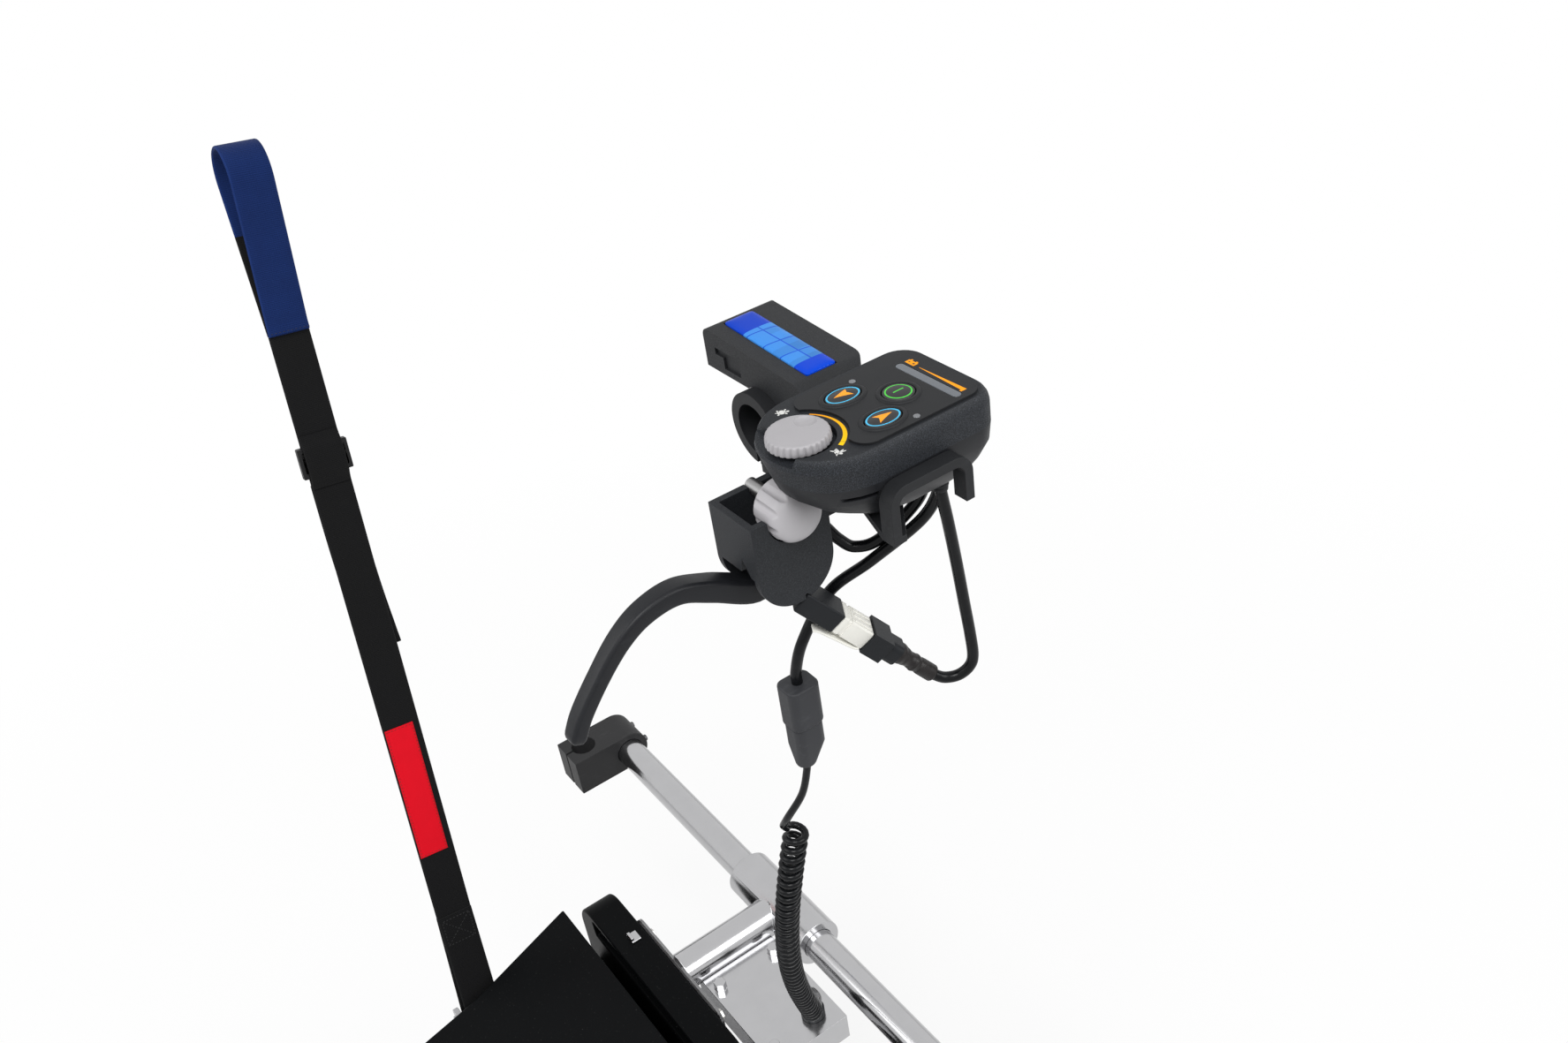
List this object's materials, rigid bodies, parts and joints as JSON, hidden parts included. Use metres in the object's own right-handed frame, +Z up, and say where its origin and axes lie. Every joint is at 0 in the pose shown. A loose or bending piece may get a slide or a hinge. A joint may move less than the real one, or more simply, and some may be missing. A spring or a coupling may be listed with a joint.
{
  "type": "wheelchair power assist",
  "caption": "Attendant power assist for a wheelchair: handle-clamped control head with squeeze lever, coiled lead, lifting strap and battery drive unit on wheels.",
  "frame": {"origin": "centre of the right push handle's tube at the rear mouth of the handle clamp", "axes": "+X to the chair's right, +Y the way the chair rolls forward, +Z up"},
  "size_m": [0.6437, 0.3335, 0.9887],
  "materials": {
    "shell_black": "fine sparkle texture",
    "shell_charcoal": "fine texture",
    "panel": "matte overlay film",
    "key": "domed, matte",
    "gauge": "smoked window",
    "label": "domed resin",
    "knob_grey": "satin",
    "lever": "satin",
    "steel": "bright zinc",
    "chrome": "polished",
    "cable": "glossy jacket",
    "plug_black": "moulded",
    "plug_white": "moulded nylon",
    "board": "circuit board",
    "web_navy": "ribbed webbing",
    "web_black": "ribbed webbing",
    "web_red": "sewn patch",
    "case_black": "satin",
    "cells": "sealed cell blocks",
    "cast": "bead blasted",
    "motor": "satin black",
    "rim": "moulded",
    "tyre": "solid rubber"
  },
  "bodies": {
    "frame": {"clamp_collar": "shell_charcoal", "clamp_hood": "shell_black", "label_plate": "label", "pinch_bolt": "steel", "bracket_arm": "shell_charcoal", "head_lower_shell": "shell_charcoal", "head_upper_shell": "shell_black", "keypad_panel": "panel", "gauge_window": "gauge", "indicator_lamps": "gauge", "dial_potentiometer": "board", "circuit_board": "board", "cable_guard": "shell_charcoal", "lever_housing": "shell_charcoal", "lever_pivot_pin": "steel", "return_spring": "steel", "loop_cable": "cable", "cable_plug": "plug_black", "plug_sleeve": "cable", "latch_connector": "plug_white", "sensor_socket": "plug_black", "lever_cable": "cable", "main_cable": "cable", "junction_upper": "shell_charcoal", "junction_lower": "shell_charcoal", "coil_cord": "cable", "strap_loop": "web_navy", "strap_webbing": "web_black", "strap_slider": "shell_charcoal", "strap_patch": "web_red", "cross_bar": "chrome", "frame_clamp_left": "shell_charcoal", "frame_clamp_right": "shell_charcoal"},
    "lever": {"throttle_lever": "lever"},
    "dial": {"speed_dial": "knob_grey"},
    "power_key": {"power_button": "key"},
    "reverse_key": {"reverse_button": "key"},
    "forward_key": {"forward_button": "key"},
    "knob": {"hand_knob": "knob_grey"},
    "drive": {"swing_arm": "chrome", "mount_block": "chrome", "drive_plug": "plug_black", "dock_housing": "case_black", "battery_catch": "chrome", "battery_tray": "case_black", "chassis_frame": "chrome", "lift_bracket": "chrome", "drive_motor": "motor", "gearbox_case": "cast", "strap_lower_loop": "web_black"},
    "wheels": {"drive_axle": "steel", "axle_gear": "steel", "wheel_left": "rim", "wheel_right": "rim", "tyre_left": "tyre", "tyre_right": "tyre"},
    "pinion": {"motor_pinion": "steel"},
    "battery": {"battery_tub": "case_black", "battery_lid": "case_black", "battery_cells": "cells"}
  },
  "joints": [
    {"name": "lever_squeeze", "type": "hinge", "parent": "frame", "child": "lever", "pos_m": [0.0253, -0.014, -0.046], "axis": [-1, 0, 0], "range_deg": [0, 12], "stiffness_Nm_per_rad": 0.6, "springref_deg": -14.32},
    {"name": "dial_turn", "type": "hinge", "parent": "frame", "child": "dial", "pos_m": [0.062, -0.0183, 0.03], "axis": [0, 0, 1], "range_deg": [-135, 135]},
    {"name": "power_press", "type": "slide", "parent": "frame", "child": "power_key", "axis": [0, 0, -1], "range_m": [0, 0.001], "stiffness_N_per_m": 600, "springref_m": -0.0006},
    {"name": "reverse_press", "type": "slide", "parent": "frame", "child": "reverse_key", "axis": [0, 0, -1], "range_m": [0, 0.001], "stiffness_N_per_m": 600, "springref_m": -0.0006},
    {"name": "forward_press", "type": "slide", "parent": "frame", "child": "forward_key", "axis": [0, 0, -1], "range_m": [0, 0.001], "stiffness_N_per_m": 600, "springref_m": -0.0006},
    {"name": "knob_turn", "type": "hinge", "parent": "frame", "child": "knob", "pos_m": [0.03, -0.014, -0.013], "axis": [1, 0, 0], "continuous": true},
    {"name": "drive_lift", "type": "hinge", "parent": "frame", "child": "drive", "pos_m": [-0.2625, 0.106, -0.602], "axis": [-1, 0, 0], "range_deg": [0, 15], "deforming": ["coil_cord", "strap_webbing", "strap_patch"]},
    {"name": "wheel_spin", "type": "hinge", "parent": "drive", "child": "wheels", "pos_m": [-0.2625, -0.06, -0.86], "axis": [1, 0, 0], "continuous": true},
    {"name": "pinion_spin", "type": "hinge", "parent": "drive", "child": "pinion", "pos_m": [-0.2625, -0.06, -0.8], "axis": [1, 0, 0], "continuous": true},
    {"name": "battery_lift", "type": "slide", "parent": "drive", "child": "battery", "axis": [0, 0, 1], "range_m": [0, 0.08]}
  ],
  "couplings": [
    {"joint": "pinion_spin", "follows": "wheel_spin", "ratio": -4}
  ]
}
